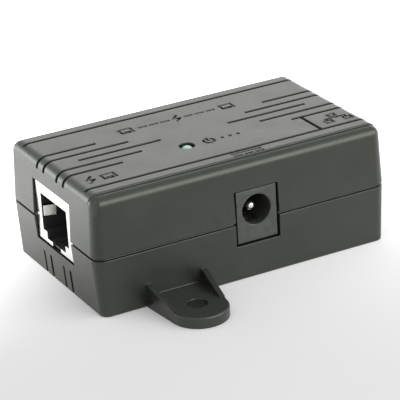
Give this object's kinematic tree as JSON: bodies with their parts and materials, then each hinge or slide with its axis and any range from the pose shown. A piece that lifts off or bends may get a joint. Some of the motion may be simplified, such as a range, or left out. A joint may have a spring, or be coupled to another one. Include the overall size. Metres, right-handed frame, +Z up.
{
  "type": "poe injector",
  "caption": "Passive power-over-Ethernet injector: two-shell box with a shielded modular port in each end, a barrel power socket, an indicator lamp and corner screw ears.",
  "frame": {"origin": "under the middle of the box, on the surface it stands on", "axes": "+Z up; X along the box, from the powered port at -X to the network port at +X; the barrel socket faces -Y"},
  "size_m": [0.066, 0.07, 0.0252],
  "materials": {
    "case_plastic": "fine spark-eroded satin",
    "board_laminate": "green solder mask",
    "screw_steel": "zinc plated",
    "shield_nickel": "bright nickel plated sheet",
    "port_plastic": "moulded satin",
    "contact_gold": "gold flashed",
    "jack_plastic": "moulded satin",
    "jack_metal": "nickel plated",
    "led_resin": "tinted clear resin",
    "tinned_wire": "tinned",
    "can_aluminium": "drawn",
    "sleeve_film": "shrunk film",
    "fuse_coating": "dipped coating",
    "diode_epoxy": "moulded epoxy",
    "resistor_enamel": "enamel"
  },
  "bodies": {
    "root": {"upper_shell": "case_plastic", "lower_shell": "case_plastic", "circuit_board": "board_laminate", "housing_screws": "screw_steel", "poe_port_shield": "shield_nickel", "poe_port_body": "port_plastic", "poe_port_leads": "contact_gold", "lan_port_shield": "shield_nickel", "lan_port_body": "port_plastic", "lan_port_leads": "contact_gold", "dc_jack_body": "jack_plastic", "dc_jack_pin": "jack_metal", "dc_jack_terminals": "jack_metal", "led_lens": "led_resin", "led_leads": "tinned_wire", "capacitor_can": "can_aluminium", "capacitor_sleeve": "sleeve_film", "capacitor_leads": "tinned_wire", "resettable_fuse": "fuse_coating", "fuse_leads": "tinned_wire", "diode_body": "diode_epoxy", "diode_leads": "tinned_wire", "resistor_body": "resistor_enamel", "resistor_leads": "tinned_wire"},
    "poe_contacts": {"poe_contact_springs": "contact_gold"},
    "poe_finger_left": {"poe_shield_finger_left": "shield_nickel"},
    "poe_finger_right": {"poe_shield_finger_right": "shield_nickel"},
    "lan_contacts": {"lan_contact_springs": "contact_gold"},
    "lan_finger_left": {"lan_shield_finger_left": "shield_nickel"},
    "lan_finger_right": {"lan_shield_finger_right": "shield_nickel"},
    "dc_leaf": {"dc_jack_leaf": "jack_metal"}
  },
  "joints": [
    {"name": "poe_contact_flex", "type": "hinge", "parent": "root", "child": "poe_contacts", "pos_m": [-0.0301, 0, 0.01745], "axis": [0, -1, 0], "range_deg": [0, 12], "stiffness_Nm_per_rad": 0.02},
    {"name": "poe_finger_left_flex", "type": "hinge", "parent": "root", "child": "poe_finger_left", "pos_m": [-0.0318, 0.0059, 0.0138], "axis": [0, 0, 1], "range_deg": [0, 12], "stiffness_Nm_per_rad": 0.01},
    {"name": "poe_finger_right_flex", "type": "hinge", "parent": "root", "child": "poe_finger_right", "pos_m": [-0.0318, -0.0059, 0.0138], "axis": [0, 0, -1], "range_deg": [0, 12], "stiffness_Nm_per_rad": 0.01},
    {"name": "lan_contact_flex", "type": "hinge", "parent": "root", "child": "lan_contacts", "pos_m": [0.0301, 0, 0.01745], "axis": [0, 1, 0], "range_deg": [0, 12], "stiffness_Nm_per_rad": 0.02},
    {"name": "lan_finger_left_flex", "type": "hinge", "parent": "root", "child": "lan_finger_left", "pos_m": [0.0318, -0.0059, 0.0138], "axis": [0, 0, 1], "range_deg": [0, 12], "stiffness_Nm_per_rad": 0.01},
    {"name": "lan_finger_right_flex", "type": "hinge", "parent": "root", "child": "lan_finger_right", "pos_m": [0.0318, 0.0059, 0.0138], "axis": [0, 0, -1], "range_deg": [0, 12], "stiffness_Nm_per_rad": 0.01},
    {"name": "dc_leaf_flex", "type": "hinge", "parent": "root", "child": "dc_leaf", "pos_m": [0.00275, -0.0082, 0.0095], "axis": [1, 0, 0], "range_deg": [0, 6], "stiffness_Nm_per_rad": 0.02}
  ]
}
